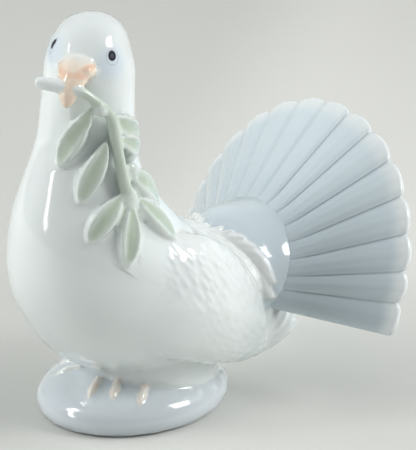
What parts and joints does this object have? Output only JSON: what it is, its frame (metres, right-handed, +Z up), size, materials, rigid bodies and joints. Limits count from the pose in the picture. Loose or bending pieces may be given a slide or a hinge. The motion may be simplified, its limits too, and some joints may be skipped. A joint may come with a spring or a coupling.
{
  "type": "dove figurine",
  "caption": "Glazed porcelain fantail dove standing on a low oval mound, with an olive sprig in its beak that lies over its breast and a raised, spread tail.",
  "frame": {"origin": "centre of the oval mound's flat underside", "axes": "+Z up, -Y the way the breast faces, +X the bird's left side, +Y towards the spread tail"},
  "size_m": [0.1298, 0.1423, 0.149],
  "materials": {
    "glazed_porcelain": null
  },
  "bodies": {
    "root": {"dove_figurine": "glazed_porcelain"}
  },
  "joints": []
}
